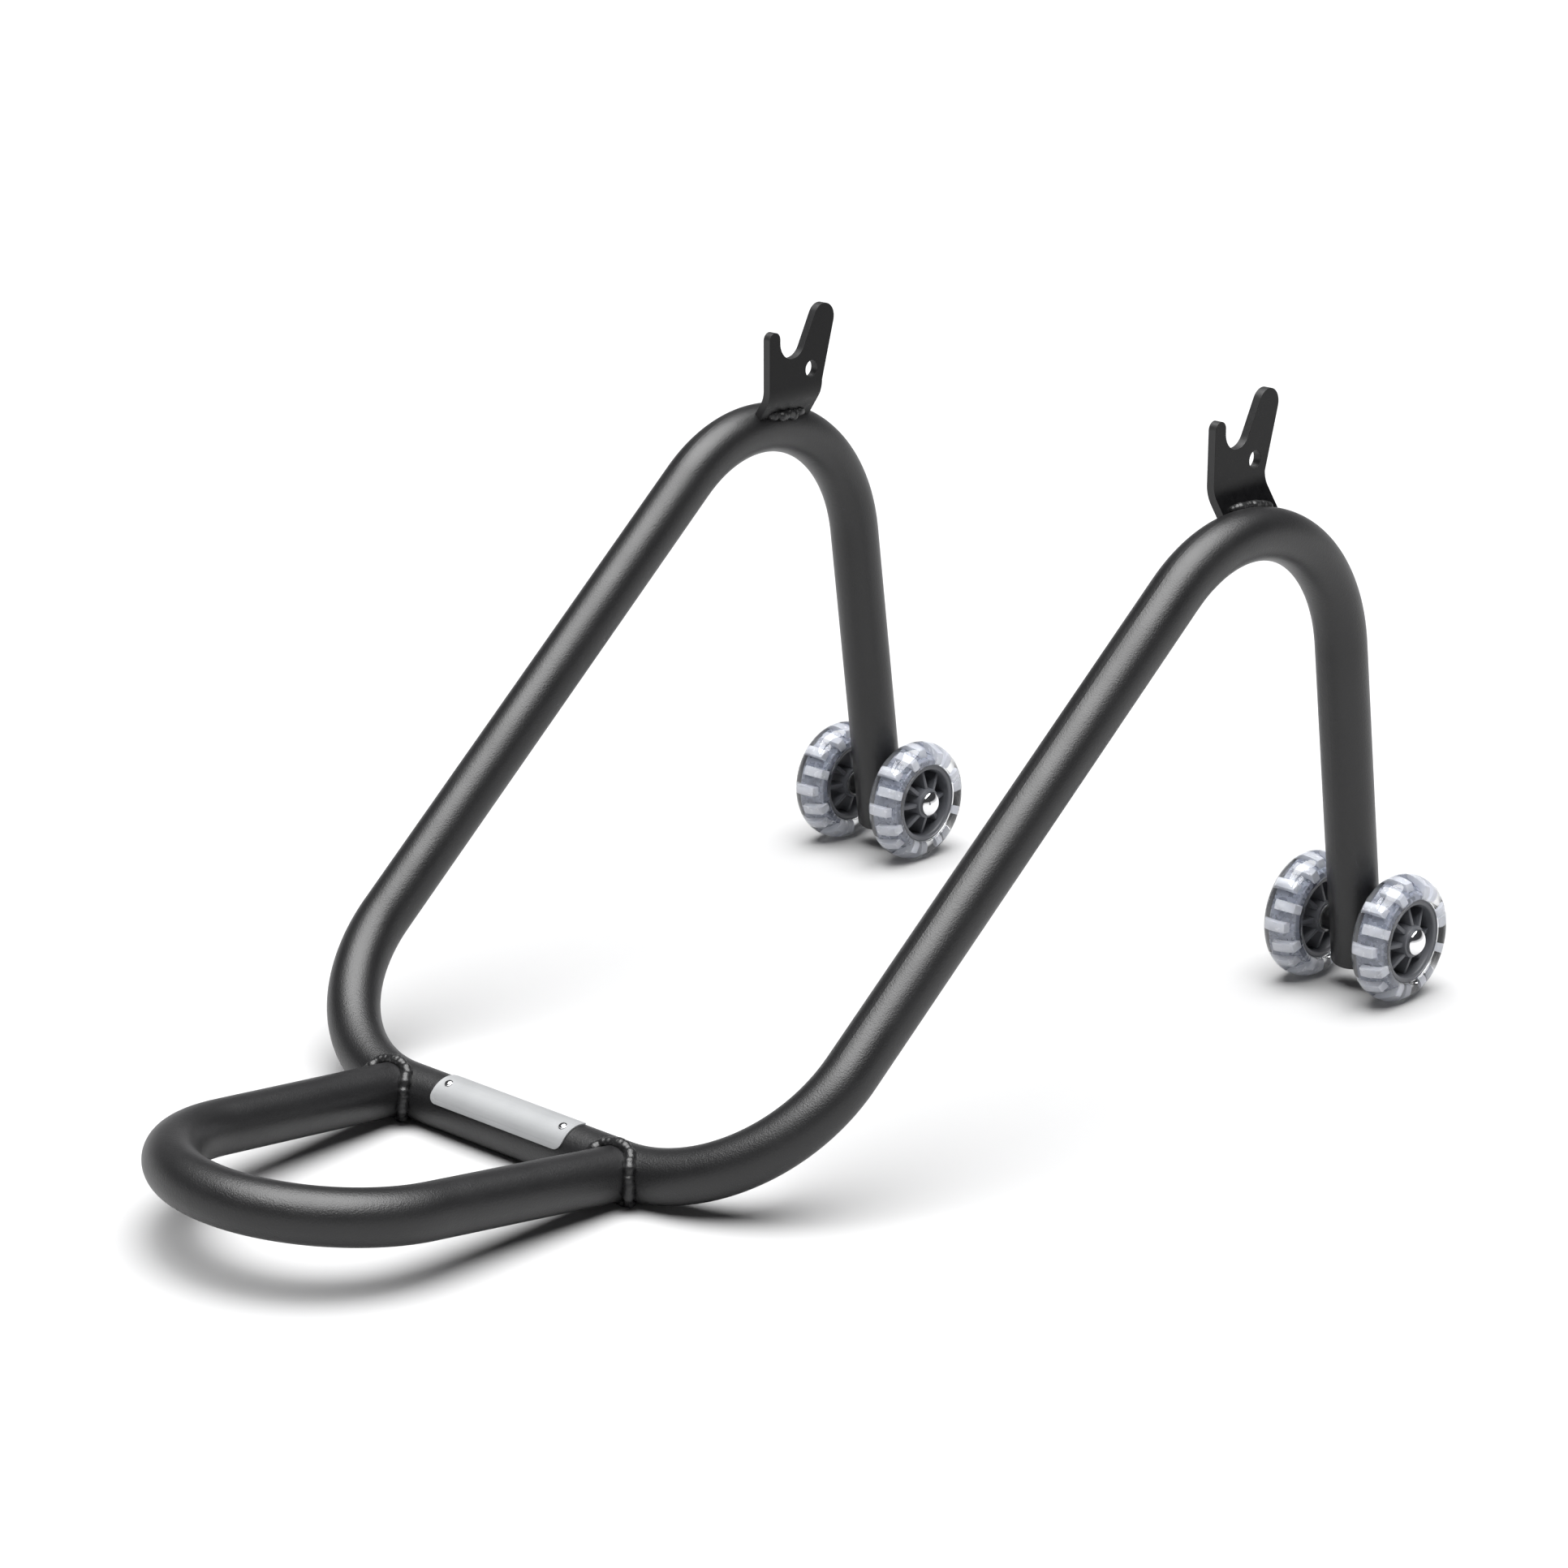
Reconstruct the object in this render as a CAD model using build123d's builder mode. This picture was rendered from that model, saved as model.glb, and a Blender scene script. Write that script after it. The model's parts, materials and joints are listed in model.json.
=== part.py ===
"""Paddock stand: one bent frame tube, a welded handle loop, two welded hooks and four small wheels.

Frame of the part: X across the stand, +Y from the handle towards the wheels, +Z up, in millimetres.
The origin lies on the floor, at the centre of the stand's outline seen from above.
Left is -X and right is +X, for a person at the handle end who faces the wheels.
"""
import os
from math import cos, pi, radians, sin

from build123d import *

# ---------------------------------------------------------------- driving dimensions (mm)
# Frame tube: crossbar, two rising arms, two arches and two legs, all one bent tube.
TUBE_OD = 30.0
TUBE_WALL = 2.5
BEND_RADIUS = 95.0           # centreline radius of the corner bends and of the arches
CORNER_HALF_WIDTH = 175.0    # centreline of the arms, where they would meet the crossbar
ARCH_HALF_WIDTH = 185.0      # the arms splay outwards a little on their way up
LEG_HALF_WIDTH = 186.0       # centreline of the legs at the axles
ARCH_REACH = 459.0           # crossbar to the corner point of the arch, along Y
ARCH_RISE = 379.5            # floor to the corner point of the arch
AXLE_REACH = 508.5           # crossbar to the axles, along Y
LEG_TAIL = 19.5              # leg tube below the axle

# Handle loop: a narrower U of the same tube that rises towards the hand.
HANDLE_REAR_HALF_WIDTH = 85.5
HANDLE_FRONT_HALF_WIDTH = 76.5
HANDLE_REACH = 209.5
HANDLE_RISE = 30.5
HANDLE_BEND_RADIUS = 79.0
COPE_DEPTH = 1.5             # the coped ends stop this far in front of the crossbar's centreline

# Hooks: bent plates, standing inboard of the arches on a foot that leans out onto the tube.
HOOK_THICKNESS = 5.0
HOOK_TO_TUBE_GAP = 0.4
HOOK_FRONT = 8.2             # front edge, ahead of the arch's highest point
PRONG_WIDTH = 9.5
PRONG_TOP = 62.7             # heights of the hook are above the arch's centreline
NOTCH_RADIUS = 11.0
NOTCH_FLOOR = 44.5
HORN_LEAN = 28.0             # degrees from upright, front edge of the tall horn
HORN_BACK_LEAN = 16.0        # degrees from upright, rear edge of the hook
HORN_TIP_RADIUS = 9.0
HORN_TOP = 74.2
HOOK_HOLE_RADIUS = 5.25
HOOK_HOLE_BEHIND = 29.0      # behind the arch's highest point
HOOK_HOLE_HEIGHT = 35.6
FOOT_BEND_HEIGHT = 27.5
FOOT_BEND_RADIUS = 18.0
FOOT_LEAN = 33.0             # degrees from upright
FOOT_LENGTH = 15.0

# Weld beads, the same round every joint.
WELD_SIZE = 3.2
WELD_FLOOR_CLEARANCE = 0.6

# Nameplate: a thin sheet wrapped round the crossbar, held by two drive rivets.
PLATE_LENGTH = 100.0
PLATE_THICKNESS = 0.8
PLATE_GAP = 0.1
PLATE_LOW_ANGLE = 20.0       # degrees above the horizontal, seen from the crossbar's centre
PLATE_HIGH_ANGLE = 122.0
PLATE_CORNER_RADIUS = 6.0
RIVET_SPACING = 87.0
RIVET_SHANK_RADIUS = 1.6
RIVET_HEAD_RADIUS = 2.4
RIVET_HEAD_HEIGHT = 1.3
RIVET_CROWN_RADIUS = 1.04
RIVET_TAIL = 1.0             # shank past the inside of the tube wall

# Wheels: a clear tyre moulded round a spoked, castellated core.
WHEEL_RADIUS = 38.0
WHEEL_TO_LEG = 4.0           # gap between the tyre's side and the leg
TYRE_HALF_WIDTH = 12.2
TREAD_DEPTH = 6.0            # tread down to the castellated flange inside the tyre
SHOULDER_DEPTH = 10.0        # tread down to where the tyre is widest
TYRE_DEPTH = 12.9            # tread down to the rim
RIM_WALL = 3.6
RIM_HALF_WIDTH = 10.1
RIM_CHAMFER = 0.6
CORE_HALF_WIDTH = 6.0
WINDOW_COUNT = 16
WINDOW_WIDTH = 5.2
WINDOW_BAR = 1.5             # material left above and below each window
BOSS_RADIUS = 10.0
BOSS_HALF_WIDTH = 11.0
SPOKE_COUNT = 8
SPOKE_THICKNESS = 2.6
SPOKE_BOSS_HALF_WIDTH = 9.0
SPOKE_RIM_HALF_WIDTH = 4.5

# Axles and what is on them.
AXLE_RADIUS = 4.0
RUNNING_CLEARANCE = 0.05     # radial, axle to hub and axle to sleeve
END_PLAY = 0.2               # each side of each hub
SLEEVE_RADIUS = 7.0
WASHER_RADIUS = 8.0
WASHER_THICKNESS = 1.0
CAP_RADIUS = 7.8
CAP_SKIRT = 1.4
CAP_HEIGHT = 5.4
CAP_SOCKET = 3.4             # how far the axle's end goes into the cap
AXLE_CHAMFER = 0.5

# Plugs in the open ends of the legs.
PLUG_FLANGE = 3.0
PLUG_DEPTH = 8.0
PLUG_CLEARANCE = 0.1
PLUG_EDGE_RADIUS = 2.0

# ---------------------------------------------------------------- places worked out from them
TUBE_RADIUS = TUBE_OD / 2
TUBE_BORE_RADIUS = TUBE_RADIUS - TUBE_WALL
FRONT_EDGE = HANDLE_REACH + TUBE_RADIUS
REAR_EDGE = AXLE_REACH + WHEEL_RADIUS
CROSSBAR_Y = (FRONT_EDGE - REAR_EDGE) / 2
CROSSBAR_Z = TUBE_RADIUS
AXLE_Y = CROSSBAR_Y + AXLE_REACH
AXLE_Z = WHEEL_RADIUS
CORE_RADIUS = WHEEL_RADIUS - TREAD_DEPTH
SHOULDER_RADIUS = WHEEL_RADIUS - SHOULDER_DEPTH
RIM_RADIUS = WHEEL_RADIUS - TYRE_DEPTH
WHEEL_OFFSET = TUBE_RADIUS + WHEEL_TO_LEG + TYRE_HALF_WIDTH
HUB_BORE_RADIUS = AXLE_RADIUS + RUNNING_CLEARANCE
SLEEVE_HALF_LENGTH = WHEEL_OFFSET - BOSS_HALF_WIDTH - END_PLAY - WASHER_THICKNESS
CAP_SEAT = WHEEL_OFFSET + BOSS_HALF_WIDTH + END_PLAY
AXLE_HALF_LENGTH = CAP_SEAT + CAP_SOCKET
WELD_TUBE_RADIUS = TUBE_RADIUS + WELD_SIZE
WIDTH_LIMIT = LEG_HALF_WIDTH + 2 * TUBE_OD
SIDES = {"left": -1, "right": 1}

os.makedirs("parts", exist_ok=True)


def save(part, name):
    """Label one finished piece and write it to its own STEP file."""
    part.label = name
    export_step(part, f"parts/{name}.step")


# ---------------------------------------------------------------- frame tube
def corner_point(side):
    return Vector(side * CORNER_HALF_WIDTH, CROSSBAR_Y, CROSSBAR_Z)


def arch_point(side):
    return Vector(side * ARCH_HALF_WIDTH, CROSSBAR_Y + ARCH_REACH, ARCH_RISE)


def axle_point(side):
    return Vector(side * LEG_HALF_WIDTH, AXLE_Y, AXLE_Z)


def leg_direction(side):
    return (axle_point(side) - arch_point(side)).normalized()


def leg_end(side):
    return axle_point(side) + leg_direction(side) * LEG_TAIL


with BuildLine() as frame_route:
    FilletPolyline(
        leg_end(-1), arch_point(-1), corner_point(-1), corner_point(1), arch_point(1), leg_end(1),
        radius=BEND_RADIUS,
    )


def route_section(route):
    """The plane across a route at its start."""
    return Plane(origin=route.wire() @ 0, z_dir=route.wire() % 0)


def arch_top(side):
    """The highest point of an arch's centreline."""
    arcs = frame_route.edges().filter_by(GeomType.CIRCLE).sort_by(lambda arc: (arc @ 0.5).Z)[-2:]
    arc = arcs.sort_by(Axis.X)[0 if side < 0 else -1]
    across = (arc % 0).cross(arc % 1).normalized()
    uphill = (Vector(0, 0, 1) - across * across.Z).normalized()
    return arc.arc_center + uphill * BEND_RADIUS


# Solids of the tube's outside, used to cope what is welded to it and to shape the weld beads.
with BuildPart() as tube_outside:
    add(frame_route.wire())
    with BuildSketch(route_section(frame_route)):
        Circle(TUBE_RADIUS)
    sweep()

with BuildPart() as tube_weld_zone:
    add(frame_route.wire())
    with BuildSketch(route_section(frame_route)):
        Circle(WELD_TUBE_RADIUS)
    sweep()


def crossbar_direction(angle):
    """Unit vector out of the crossbar, at an angle above the horizontal on the handle's side."""
    return Vector(0, -cos(radians(angle)), sin(radians(angle)))


PLATE_MID_ANGLE = (PLATE_LOW_ANGLE + PLATE_HIGH_ANGLE) / 2
PLATE_INSIDE_RADIUS = TUBE_RADIUS + PLATE_GAP
PLATE_OUTSIDE_RADIUS = PLATE_INSIDE_RADIUS + PLATE_THICKNESS


def rivet_plane(side):
    """The plane under a rivet's head, with its normal out of the crossbar."""
    out = crossbar_direction(PLATE_MID_ANGLE)
    centre = Vector(side * RIVET_SPACING / 2, CROSSBAR_Y, CROSSBAR_Z)
    return Plane(origin=centre + out * PLATE_OUTSIDE_RADIUS, z_dir=out)


# The tube is bent from one length. Here each straight run and each bend is a solid of its own, flush
# with the next, so that collision can follow the bends closely.
FRAME_PIECES = [
    "leg_tube_left", "arch_bend_left", "arm_tube_left", "corner_bend_left", "crossbar_tube",
    "corner_bend_right", "arm_tube_right", "arch_bend_right", "leg_tube_right",
]


def frame_piece(path):
    """The frame tube along one run or bend of its route."""
    with BuildPart() as tube:
        add(path)
        with BuildSketch(Plane(origin=path @ 0, z_dir=path % 0)):
            Circle(TUBE_RADIUS)
            Circle(TUBE_BORE_RADIUS, mode=Mode.SUBTRACT)
        sweep()
        # Cross holes for the axle sleeves.
        with BuildSketch(Plane.YZ):
            with Locations((AXLE_Y, AXLE_Z)):
                Circle(SLEEVE_RADIUS)
        extrude(amount=WIDTH_LIMIT, both=True, mode=Mode.SUBTRACT)
        # Holes for the nameplate's rivets, through the near wall only.
        for side in SIDES.values():
            with BuildSketch(rivet_plane(side)):
                Circle(RIVET_SHANK_RADIUS)
            extrude(amount=-TUBE_RADIUS, mode=Mode.SUBTRACT)
    return tube.part


for name, path in zip(FRAME_PIECES, frame_route.wire().order_edges()):
    save(frame_piece(path), name)


# ---------------------------------------------------------------- handle loop
def handle_rear(side):
    return Vector(side * HANDLE_REAR_HALF_WIDTH, CROSSBAR_Y, CROSSBAR_Z)


def handle_front(side):
    return Vector(side * HANDLE_FRONT_HALF_WIDTH, CROSSBAR_Y - HANDLE_REACH, CROSSBAR_Z + HANDLE_RISE)


with BuildLine() as handle_route:
    FilletPolyline(
        handle_rear(-1), handle_front(-1), handle_front(1), handle_rear(1), radius=HANDLE_BEND_RADIUS
    )

with BuildPart() as handle_tube:
    add(handle_route.wire())
    with BuildSketch(route_section(handle_route)):
        Circle(TUBE_RADIUS)
        Circle(TUBE_BORE_RADIUS, mode=Mode.SUBTRACT)
    sweep()
    # Saddle ends, coped to the crossbar and to the start of its bends.
    with BuildSketch(Plane.YZ):
        with Locations((CROSSBAR_Y - COPE_DEPTH, CROSSBAR_Z)):
            Rectangle(TUBE_OD, 2 * TUBE_OD, align=(Align.MIN, Align.CENTER))
    extrude(amount=WIDTH_LIMIT, both=True, mode=Mode.SUBTRACT)
    add(tube_outside.part, mode=Mode.SUBTRACT)
save(handle_tube.part, "handle_tube")


def handle_weld(side):
    """The bead round one saddle: what lies within the weld's size of both tubes."""
    forward = handle_front(side) - handle_rear(side)
    with BuildPart() as bead:
        with BuildSketch(Plane(origin=handle_rear(side), z_dir=forward)):
            Circle(WELD_TUBE_RADIUS)
        extrude(amount=TUBE_OD)
        add(tube_weld_zone.part, mode=Mode.INTERSECT)
        with BuildSketch(Plane.YZ):
            with Locations((CROSSBAR_Y - COPE_DEPTH, CROSSBAR_Z)):
                Rectangle(TUBE_OD, 2 * TUBE_OD, align=(Align.MIN, Align.CENTER))
            with Locations((CROSSBAR_Y, WELD_FLOOR_CLEARANCE)):
                Rectangle(4 * TUBE_OD, TUBE_OD, align=(Align.CENTER, Align.MAX))
        extrude(amount=WIDTH_LIMIT, both=True, mode=Mode.SUBTRACT)
        add(tube_outside.part, mode=Mode.SUBTRACT)
        with BuildSketch(Plane(origin=handle_rear(side), z_dir=forward)):
            Circle(TUBE_RADIUS)
        extrude(amount=2 * TUBE_OD, both=True, mode=Mode.SUBTRACT)
    return bead.part


for name, side in SIDES.items():
    save(handle_weld(side), f"handle_weld_{name}")


# ---------------------------------------------------------------- hooks
def hook_outline_points(side):
    """The hook's outline in Y and Z, as named points and round stretches."""
    top = arch_top(side)
    lean = radians(HORN_LEAN)
    back = radians(HORN_BACK_LEAN)
    into_horn = Vector(cos(lean), -sin(lean))
    along_horn = Vector(sin(lean), cos(lean))
    out_of_back = Vector(cos(back), -sin(back))
    down_back = Vector(-sin(back), -cos(back))
    front = top.Y - HOOK_FRONT
    floor = top.Z
    prong = Vector(front + PRONG_WIDTH / 2, floor + PRONG_TOP - PRONG_WIDTH / 2)
    notch = Vector(front + PRONG_WIDTH + NOTCH_RADIUS, floor + NOTCH_FLOOR + NOTCH_RADIUS)
    foot_of_horn = notch + into_horn * (NOTCH_RADIUS + HORN_TIP_RADIUS)
    climb = (floor + HORN_TOP - HORN_TIP_RADIUS - foot_of_horn.Y) / cos(lean)
    tip = foot_of_horn + along_horn * climb
    back_top = tip + out_of_back * HORN_TIP_RADIUS
    back_foot = back_top + down_back * ((back_top.Y - floor - FOOT_BEND_HEIGHT) / cos(back))
    return {
        "front": front, "floor": floor, "prong": prong, "notch": notch, "tip": tip,
        "into_horn": into_horn, "out_of_back": out_of_back, "back_top": back_top, "back_foot": back_foot,
    }


def hook_strip(side, thickness):
    """The hook's bent section: an upright strip, a bend, and the foot that leans out to the tube."""
    top = arch_top(side)
    middle = top.X - side * (TUBE_RADIUS + HOOK_TO_TUBE_GAP + HOOK_THICKNESS / 2)
    with BuildPart() as strip:
        with BuildLine(Plane.XZ.offset(-top.Y)):
            upright = Line((middle, top.Z + 2 * HORN_TOP), (middle, top.Z + FOOT_BEND_HEIGHT))
            JernArc(
                start=(middle, top.Z + FOOT_BEND_HEIGHT), tangent=(0, -1),
                radius=FOOT_BEND_RADIUS, arc_size=side * FOOT_LEAN,
            )
            lean = radians(FOOT_LEAN)
            foot_start = (
                middle + side * FOOT_BEND_RADIUS * (1 - cos(lean)),
                top.Z + FOOT_BEND_HEIGHT - FOOT_BEND_RADIUS * sin(lean),
            )
            foot_end = (
                foot_start[0] + side * FOOT_LENGTH * sin(lean),
                foot_start[1] - FOOT_LENGTH * cos(lean),
            )
            Line(foot_start, foot_end)
        with BuildSketch(Plane(origin=upright @ 0, x_dir=(0, 1, 0), z_dir=(0, 0, -1))):
            Rectangle(2 * WIDTH_LIMIT, thickness)
        sweep()
    return strip.part


def hook(side):
    shape = hook_outline_points(side)
    front, floor = shape["front"], shape["floor"]
    prong, notch, tip = shape["prong"], shape["notch"], shape["tip"]
    prong_half = Vector(PRONG_WIDTH / 2, 0)
    up = Vector(0, 1)
    bottom = floor - TUBE_RADIUS
    notch_turn = (Vector(-1, 0) + shape["into_horn"]).normalized()
    tip_turn = (shape["out_of_back"] - shape["into_horn"]).normalized()
    with BuildPart() as plate:
        with BuildSketch(Plane.YZ):
            with BuildLine():
                a = Line((front, bottom), prong - prong_half)
                b = ThreePointArc(a @ 1, prong + up * (PRONG_WIDTH / 2), prong + prong_half)
                c = Line(b @ 1, notch - Vector(NOTCH_RADIUS, 0))
                d = ThreePointArc(
                    c @ 1, notch + notch_turn * NOTCH_RADIUS, notch + shape["into_horn"] * NOTCH_RADIUS
                )
                e = Line(d @ 1, tip - shape["into_horn"] * HORN_TIP_RADIUS)
                f = ThreePointArc(e @ 1, tip + tip_turn * HORN_TIP_RADIUS, shape["back_top"])
                g = Line(f @ 1, shape["back_foot"])
                h = Line(g @ 1, (shape["back_foot"].X, bottom))
                Line(h @ 1, a @ 0)
            make_face()
            with Locations((arch_top(side).Y + HOOK_HOLE_BEHIND, floor + HOOK_HOLE_HEIGHT)):
                Circle(HOOK_HOLE_RADIUS, mode=Mode.SUBTRACT)
        extrude(amount=side * WIDTH_LIMIT)
        add(hook_strip(side, HOOK_THICKNESS), mode=Mode.INTERSECT)
        add(tube_outside.part, mode=Mode.SUBTRACT)
    return plate.part


def hook_weld(side, plate):
    """The bead round a hook's foot: what lies within the weld's size of both foot and tube."""
    shape = hook_outline_points(side)
    start = shape["front"] - WELD_SIZE
    end = shape["back_foot"].X + WELD_SIZE
    with BuildPart() as bead:
        add(hook_strip(side, HOOK_THICKNESS + 2 * WELD_SIZE))
        with BuildSketch(Plane.YZ):
            with Locations(((start + end) / 2, shape["floor"])):
                Rectangle(end - start, 4 * TUBE_OD)
        extrude(amount=side * WIDTH_LIMIT, mode=Mode.INTERSECT)
        add(tube_weld_zone.part, mode=Mode.INTERSECT)
        add(tube_outside.part, mode=Mode.SUBTRACT)
        add(plate, mode=Mode.SUBTRACT)
    return bead.part


for name, side in SIDES.items():
    plate = hook(side)
    save(plate, f"hook_{name}")
    save(hook_weld(side, plate), f"hook_weld_{name}")


# ---------------------------------------------------------------- nameplate and its rivets
PLATE_HALF_ANGLE = (PLATE_HIGH_ANGLE - PLATE_LOW_ANGLE) / 2
PLATE_CHORD = 2 * PLATE_OUTSIDE_RADIUS * sin(radians(PLATE_HALF_ANGLE))

with BuildPart() as nameplate:
    with BuildSketch(Plane.YZ):
        with Locations((CROSSBAR_Y, CROSSBAR_Z)):
            Circle(PLATE_OUTSIDE_RADIUS)
            Circle(PLATE_INSIDE_RADIUS, mode=Mode.SUBTRACT)
    extrude(amount=PLATE_LENGTH, both=True)
    # The rounded outline, cut square to the middle of the sheet.
    with BuildSketch(
        Plane(
            origin=(0, CROSSBAR_Y, CROSSBAR_Z), x_dir=(1, 0, 0), z_dir=crossbar_direction(PLATE_MID_ANGLE)
        )
    ):
        RectangleRounded(PLATE_LENGTH, PLATE_CHORD, PLATE_CORNER_RADIUS)
    extrude(amount=TUBE_OD, mode=Mode.INTERSECT)
    for side in SIDES.values():
        with BuildSketch(rivet_plane(side)):
            Circle(RIVET_SHANK_RADIUS)
        extrude(amount=TUBE_RADIUS / 2, both=True, mode=Mode.SUBTRACT)
save(nameplate.part, "nameplate")

with BuildPart() as nameplate_rivets:
    for side in SIDES.values():
        with BuildSketch(rivet_plane(side)):
            Circle(RIVET_SHANK_RADIUS)
        extrude(amount=-(PLATE_OUTSIDE_RADIUS - TUBE_BORE_RADIUS + RIVET_TAIL))
        with BuildSketch(rivet_plane(side)):
            Circle(RIVET_HEAD_RADIUS)
        extrude(amount=RIVET_HEAD_HEIGHT)
    crowns = nameplate_rivets.faces().sort_by(Axis.Z)[-2:].edges()
    fillet(crowns, radius=RIVET_CROWN_RADIUS)
save(nameplate_rivets.part, "nameplate_rivets")


# ---------------------------------------------------------------- leg plugs
def leg_plug(side):
    """A plug in the leg's open end, with a rounded flange over the tube's edge."""
    down = leg_direction(side)
    with BuildPart() as plug:
        with BuildSketch(Plane(origin=leg_end(side), z_dir=down)):
            Circle(TUBE_RADIUS)
        extrude(amount=PLUG_FLANGE)
        fillet(plug.edges().filter_by(GeomType.CIRCLE).sort_by(Axis.Z)[0], radius=PLUG_EDGE_RADIUS)
        with BuildSketch(Plane(origin=leg_end(side), z_dir=down)):
            Circle(TUBE_BORE_RADIUS - PLUG_CLEARANCE)
        extrude(amount=-PLUG_DEPTH)
    return plug.part


for name, side in SIDES.items():
    save(leg_plug(side), f"leg_plug_{name}")


# ---------------------------------------------------------------- axles, sleeves, washers and caps
def turned(name, centre, *rings):
    """One round piece on an axle. Each ring is from x, to x, inner radius, outer radius."""
    with BuildPart() as piece:
        with BuildSketch(Plane(origin=centre, x_dir=(1, 0, 0), z_dir=(0, -1, 0))):
            for start, end, inner, outer in rings:
                with Locations(((start + end) / 2, (inner + outer) / 2)):
                    Rectangle(abs(end - start), outer - inner)
        revolve(axis=Axis(centre, (1, 0, 0)))
    save(piece.part, name)


def push_cap(centre, outward):
    """A domed cap pressed on the axle's end. Outward is +1 or -1 along X."""
    skirt = outward * (CAP_SEAT + CAP_SKIRT)
    apex = outward * (CAP_SEAT + CAP_HEIGHT)
    with BuildPart() as cap:
        with BuildSketch(Plane(origin=centre, x_dir=(1, 0, 0), z_dir=(0, -1, 0))):
            with BuildLine():
                dome = TangentArc((apex, 0), (skirt, CAP_RADIUS), tangent=(0, 1))
                Polyline(
                    dome @ 1,
                    (outward * CAP_SEAT, CAP_RADIUS),
                    (outward * CAP_SEAT, AXLE_RADIUS),
                    (outward * AXLE_HALF_LENGTH, AXLE_RADIUS),
                    (outward * AXLE_HALF_LENGTH, 0),
                    dome @ 0,
                )
            make_face()
        revolve(axis=Axis(centre, (1, 0, 0)))
    return cap.part


def axle(centre):
    with BuildPart() as rod:
        with BuildSketch(Plane(origin=centre, z_dir=(1, 0, 0))):
            Circle(AXLE_RADIUS)
        extrude(amount=AXLE_HALF_LENGTH, both=True)
        chamfer(rod.edges().filter_by(GeomType.CIRCLE), length=AXLE_CHAMFER)
    return rod.part


# ---------------------------------------------------------------- wheels
with BuildPart() as wheel_core:
    with BuildSketch(Plane.XZ):
        with Locations((0, RIM_RADIUS - RIM_WALL / 2)):
            Rectangle(2 * RIM_HALF_WIDTH, RIM_WALL)
    revolve(axis=Axis.X)
    chamfer(wheel_core.edges().filter_by(GeomType.CIRCLE), length=RIM_CHAMFER)
    with BuildSketch(Plane.XZ):
        with Locations((0, (RIM_RADIUS + CORE_RADIUS) / 2)):
            Rectangle(2 * CORE_HALF_WIDTH, CORE_RADIUS - RIM_RADIUS)
        with Locations((0, (HUB_BORE_RADIUS + BOSS_RADIUS) / 2)):
            Rectangle(2 * BOSS_HALF_WIDTH, BOSS_RADIUS - HUB_BORE_RADIUS)
    revolve(axis=Axis.X)
    spoke_root = BOSS_RADIUS - SPOKE_THICKNESS / 2
    spoke_tip = RIM_RADIUS - RIM_WALL / 2
    for number in range(SPOKE_COUNT):
        turn = 2 * pi * number / SPOKE_COUNT
        with BuildSketch(Plane(origin=(0, 0, 0), x_dir=(1, 0, 0), z_dir=(0, -cos(turn), -sin(turn)))):
            Polygon(
                (-SPOKE_BOSS_HALF_WIDTH, spoke_root), (SPOKE_BOSS_HALF_WIDTH, spoke_root),
                (SPOKE_RIM_HALF_WIDTH, spoke_tip), (-SPOKE_RIM_HALF_WIDTH, spoke_tip),
                align=None,
            )
        extrude(amount=SPOKE_THICKNESS / 2, both=True)
    # Windows between the teeth of the flange, which the tyre's material fills.
    with BuildSketch(Plane.YZ):
        with PolarLocations((RIM_RADIUS + CORE_RADIUS) / 2, WINDOW_COUNT):
            Rectangle(CORE_RADIUS - RIM_RADIUS - 2 * WINDOW_BAR, WINDOW_WIDTH)
    extrude(amount=CORE_HALF_WIDTH, both=True, mode=Mode.SUBTRACT)

with BuildPart() as wheel_tyre:
    with BuildSketch(Plane.XZ):
        with BuildLine():
            tread = EllipticalCenterArc(
                (0, SHOULDER_RADIUS), TYRE_HALF_WIDTH, SHOULDER_DEPTH,
                start_angle=0, arc_size=180,
            )
            right = TangentArc((TYRE_HALF_WIDTH, SHOULDER_RADIUS), (RIM_HALF_WIDTH, RIM_RADIUS), tangent=(0, -1))
            left = TangentArc((-TYRE_HALF_WIDTH, SHOULDER_RADIUS), (-RIM_HALF_WIDTH, RIM_RADIUS), tangent=(0, -1))
            Line(right @ 1, left @ 1)
        make_face()
    revolve(axis=Axis.X)
    add(wheel_core.part, mode=Mode.SUBTRACT)

for name, side in SIDES.items():
    middle = axle_point(side)
    save(axle(middle), f"axle_{name}")
    turned(f"axle_sleeve_{name}", middle, (-SLEEVE_HALF_LENGTH, SLEEVE_HALF_LENGTH, HUB_BORE_RADIUS, SLEEVE_RADIUS))
    for place, outward in (("outer", side), ("inner", -side)):
        wheel_place = Pos(middle + Vector(outward * WHEEL_OFFSET, 0, 0))
        save(wheel_place * wheel_core.part, f"wheel_hub_{name}_{place}")
        save(wheel_place * wheel_tyre.part, f"wheel_tyre_{name}_{place}")
        washer_start = outward * SLEEVE_HALF_LENGTH
        washer_end = washer_start + outward * WASHER_THICKNESS
        turned(
            f"washer_{name}_{place}", middle, (washer_start, washer_end, HUB_BORE_RADIUS, WASHER_RADIUS)
        )
        save(push_cap(middle, outward), f"push_cap_{name}_{place}")
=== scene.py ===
# %% [markdown]
# # Paddock stand
# A paddock stand lifts one end of a motorcycle. One bent steel tube makes a crossbar, two rising arms,
# two arches and two legs. A handle loop is welded to the crossbar, a hook to each arch, and each leg
# stands on two small clear wheels. The solids come from the CAD frame, in metres, with +Y from the
# handle towards the wheels. This lesson dresses them, and rebuilds the pieces that need finer shape.

import json
from math import asin, atan2, cos, degrees, pi, radians, sin

import bpy
from mathutils import Matrix, Vector

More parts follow.
